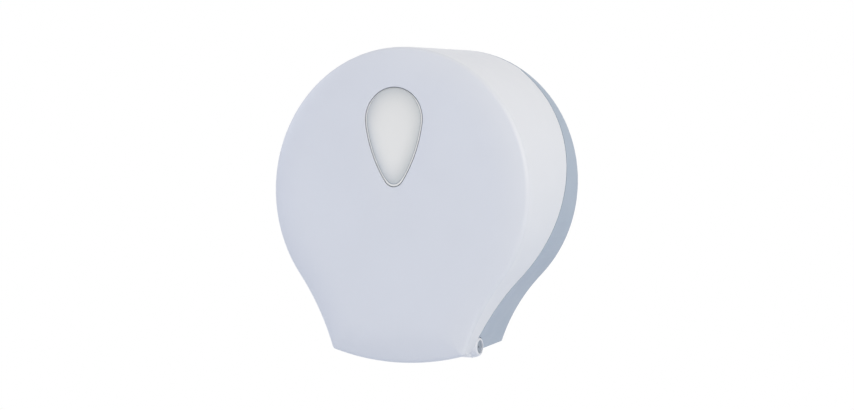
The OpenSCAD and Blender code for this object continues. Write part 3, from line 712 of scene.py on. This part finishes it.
def rod(start, end, r, centre, axis, side=1):
    profile = [(start, 0.0), (start, r), (end, r), (end, 0.0)]
    return turned(profile, centre, axis, side, BORE_STEPS)


def hinge_rod(x0, x1, r, side):
    return rod(x0, x1, r, HINGE, "x", side)


def lock_rod(z0, z1, r):
    return rod(z0, z1, r, (0, LOCK_Y, 0), "z")


def ear_ring(side):
    profile = rounded((((EAR_IN, 0.0), 0), ((EAR_IN, EAR_R + EAR_FLARE), EAR_INNER_ROUND),
                       ((EAR_OUT, EAR_R), EAR_BEVEL), ((EAR_OUT, 0.0), 0)), EAR_CORNER_STEPS)
    return turned(profile, HINGE, "x", side)


def ear_web(side):
    """The ear's blend forward into the side wall."""
    corners = []
    for x, r in WEB_RINGS:
        for i in range(BORE_STEPS):
            a = 2 * math.pi * i / BORE_STEPS
            corners.append((side * x, HINGE_Y + r * math.cos(a), HINGE_Z + r * math.sin(a)))
    depth = WEB_REACH - HINGE_Y
    wall = blend(REAR_FOOT_W, FRONT_FOOT_W, depth / CREASE_DEPTH)
    for inward, z in WEB_FOOT:
        for y in (-depth, WEB_T - depth):
            corners.append((side * (wall - inward), y, z))
    return hull_of(corners)


def cover():
    seat = LOCK_WALL_Z - FLANGE_T - FLANGE_SUNK
    joined = [lock_rod(seat - BOSS_T, seat + FLANGE_SUNK, BOSS_R)]
    bores = [lock_rod(seat, seat + FLANGE_T + PAST_WALL, FLANGE_R),
             lock_rod(seat - BOSS_T - PAST, seat + PAST, BARREL_BORE_R)]
    for side in (1, -1):
        joined += [ear_ring(side), ear_web(side)]
        bores += [hinge_rod(EAR_IN - PAST, EAR_OUT + PAST, PIN_BORE_R, side),
                  hinge_rod(HEAD_SEAT, EAR_OUT + PAST, HEAD_BORE_R, side)]
    new_piece("cover_shell", carved(shell(), joined, bores), "cover", "front_cover")


# ---------- hinge pins ----------

PIN_R, PIN_HEAD_R, PIN_SEAT, PIN_FACE = 3.5, 6.1, 66.15, 67.5
PIN_TIP_BEVEL, PIN_SEAT_ROUND, PIN_RIM_ROUND = 0.5, 0.2, 0.4
PIN_GROOVE_R, PIN_GROOVE_START, PIN_GROOVE_END = 2.7, 1.4, 2.4
PIN_DISH_R, PIN_DISH, PIN_DISH_SLOPE, PIN_DISH_ROUND = 5.2, 0.25, 0.8, 0.3
PIN_HOLE_R, PIN_HOLE, PIN_HOLE_ROUND = 1.0, 1.7, 0.1


def pins():
    """The hinge pins: a dished head with a centre hole, and a groove for the clip near the tip."""
    dish, hole = PIN_FACE - PIN_DISH, PIN_FACE - PIN_HOLE
    for side, name in ((1, "right"), (-1, "left")):
        tip = min(abs(corner[0]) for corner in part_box("hinge_pin_" + name)) / MM
        groove, groove_end = tip + PIN_GROOVE_START, tip + PIN_GROOVE_END
        profile = rounded((
            ((tip, 0.0), 0), ((tip, PIN_R), PIN_TIP_BEVEL),
            ((groove, PIN_R), 0), ((groove, PIN_GROOVE_R), 0),
            ((groove_end, PIN_GROOVE_R), 0), ((groove_end, PIN_R), 0),
            ((PIN_SEAT, PIN_R), 0), ((PIN_SEAT, PIN_HEAD_R), PIN_SEAT_ROUND),
            ((PIN_FACE, PIN_HEAD_R), PIN_RIM_ROUND), ((PIN_FACE, PIN_DISH_R), PIN_DISH_ROUND),
            ((dish, PIN_DISH_R - PIN_DISH_SLOPE), PIN_DISH_ROUND),
            ((dish, PIN_HOLE_R), PIN_HOLE_ROUND), ((hole, PIN_HOLE_R), 0), ((hole, 0.0), 0)))
        shape = turned(profile, HINGE, "x", side)
        new_piece("pin_" + name, shape, "base", "hinge_pin_" + name)


# ---------- window lens ----------

LENS_MID = 44.0
LENS_GAP, LENS_RECESS, LENS_SWELL, LENS_WALL = 0.8, 0.4, 1.5, 2.4
LENS_FLANGE_W, LENS_FLANGE_T, LENS_HOLLOW = 3.5, 1.6, 3.0
# The rim's width over the top, along the sides and at the tip, and the heights between which
# it changes
RIM_TOP_W, RIM_SIDE_W, RIM_LOW_W = 0.6, 1.6, 2.6
RIM_TOP_Z, RIM_SIDE_Z, RIM_LOW_START, RIM_LOW_RUN = 82.0, 72.0, 3.0, 5.0
# The lens's rim from the dome outwards: share of its width, rise above its seat, painted shade (1
# is a dark line of shade, 0 the lens's own colour)
RIM_RINGS = ((0.08, -0.3, 1.0), (0.26, -0.3, 1.0), (0.36, 0.05, 0.1), (0.6, 0.08, 0.0),
             (0.85, 0.05, 0.1), (1.0, -0.15, 0.4))
DOME_STEPS, DOME_CENTRE, DOME_POWER = 22, 0.02, 6
# Painted shade on the dome, growing towards its edge, and full painted shade on the lens's side and
# flange in the gap
DOME_PAINTED_SHADE, PAINTED_SHADE_POWER = 0.6, 4
SIDE_PAINTED_SHADE = 1.0
# The hollow behind the dome from its edge inwards: share of its width, share of the dome's painted
# shade
HOLLOW_RINGS = ((0.96, 0.9), (0.85, 0.7), (0.6, 0.4), (0.3, 0.1), (DOME_CENTRE, 0.0))


def swell(s):
    return (LENS_SWELL + LENS_RECESS) * (1 - s ** DOME_POWER) - LENS_RECESS


def rim_width(z):
    """Width of the lens's flat rim: narrow over the top, and widest at the tip."""
    if z > RIM_SIDE_Z:
        share = (z - RIM_SIDE_Z) / (RIM_TOP_Z - RIM_SIDE_Z)
        return blend(RIM_SIDE_W, RIM_TOP_W, min(1, share))
    share = (RIM_LOW_START - z) / RIM_LOW_RUN
    return blend(RIM_SIDE_W, RIM_LOW_W, min(1, max(0, share)))


def outset_ring(outset, s, y):
    """The window's outline moved outward, and then drawn in to s about the lens's middle."""
    return [(x * s, y, blend(LENS_MID, z, s)) for x, z in window_outline(outset)]


def rim_ring(share, s, y):
    """A ring at a share of the rim's width from its inner side, drawn in to s."""
    points = []
    edge = window_outline(-LENS_GAP)
    inner_edge = window_outline(-LENS_GAP - RIM_LOW_W)
    for (x0, z0), (x1, z1) in zip(edge, inner_edge):
        k = (1 - share) * rim_width(z0) / RIM_LOW_W
        points.append((blend(x0, x1, k) * s, y, blend(LENS_MID, blend(z0, z1, k), s)))
    return points


def lens():
    """The window: a dome, its rim, its side and flange, and its hollow, with painted shade per
    point.
    """
    rings, painted_shades = [], []

    def add(ring, painted_shade):
        rings.append(ring)
        painted_shades.extend([painted_shade] * len(ring))

    # The dome, with painted shade growing towards its edge
    for j in range(DOME_STEPS + 1):
        s = math.sin(math.pi / 2 * j / DOME_STEPS) if j else DOME_CENTRE
        add(rim_ring(0, s, FACE_Y - swell(s)), DOME_PAINTED_SHADE * s ** PAINTED_SHADE_POWER)
    # The rim, with a painted dark line of shade in the groove at its inner side and lighter painted
    # shade at its outer edge
    for share, rise, painted_shade in RIM_RINGS:
        add(rim_ring(share, 1, FACE_Y + LENS_RECESS - rise), painted_shade)
    flange_y = FACE_BACK_Y + LENS_FLANGE_T
    # The side and flange, painted in full shade
    for outset, y in ((-LENS_GAP, FACE_BACK_Y), (LENS_FLANGE_W, FACE_BACK_Y),
                      (LENS_FLANGE_W, flange_y), (-LENS_HOLLOW, flange_y)):
        add(outset_ring(outset, 1, y), SIDE_PAINTED_SHADE)
    # The hollow behind the dome, with painted shade as on the dome
    for s, painted_shade in HOLLOW_RINGS:
        add(outset_ring(-LENS_HOLLOW, s, FACE_Y + LENS_WALL - swell(s)), DOME_PAINTED_SHADE * painted_shade)
    points, faces = lofted(rings)
    n = len(rings[0])
    faces.append(tuple(range(n)))
    faces.append(tuple(len(points) - 1 - i for i in range(n)))
    mesh = new_piece("window_dome", (points, faces), "cover", "window_lens")
    # The painted shade per point reaches the lens material through this attribute
    mesh.attributes.new(RIM_PAINTED_SHADE_ATTRIBUTE, "FLOAT", "POINT").data.foreach_set("value", painted_shades)


# ---------- the CAD's own shapes, with their facets smoothed ----------

BASE_SHARP_ANGLE = math.radians(14)
WELD = 1e-6
# A face whose normal is this close to an axis stays flat-shaded
SQUARE_ON = 0.99995


def smooth_copy(node, body):
    """A copy of a CAD node whose curved faces shade as one surface."""
    work = bmesh.new()
    work.from_mesh(nodes[node].data)
    bmesh.ops.remove_doubles(work, verts=work.verts, dist=WELD)
    mesh = bpy.data.meshes.new(node + "_skin")
    work.to_mesh(mesh)
    work.free()
    mesh.shade_smooth()
    mesh.set_sharp_from_angle(angle=BASE_SHARP_ANGLE)
    for face in mesh.polygons:
        face.use_smooth = max(abs(n) for n in face.normal) < SQUARE_ON
    mesh.materials.clear()
    add_piece(node + "_skin", mesh, body, node)


cover()
pins()
lens()
smooth_copy("rear_base", "base")
for node, obj in nodes.items():
    obj.data.materials.clear()
    obj.data.materials.append(MATERIALS[SLOTS[node]])
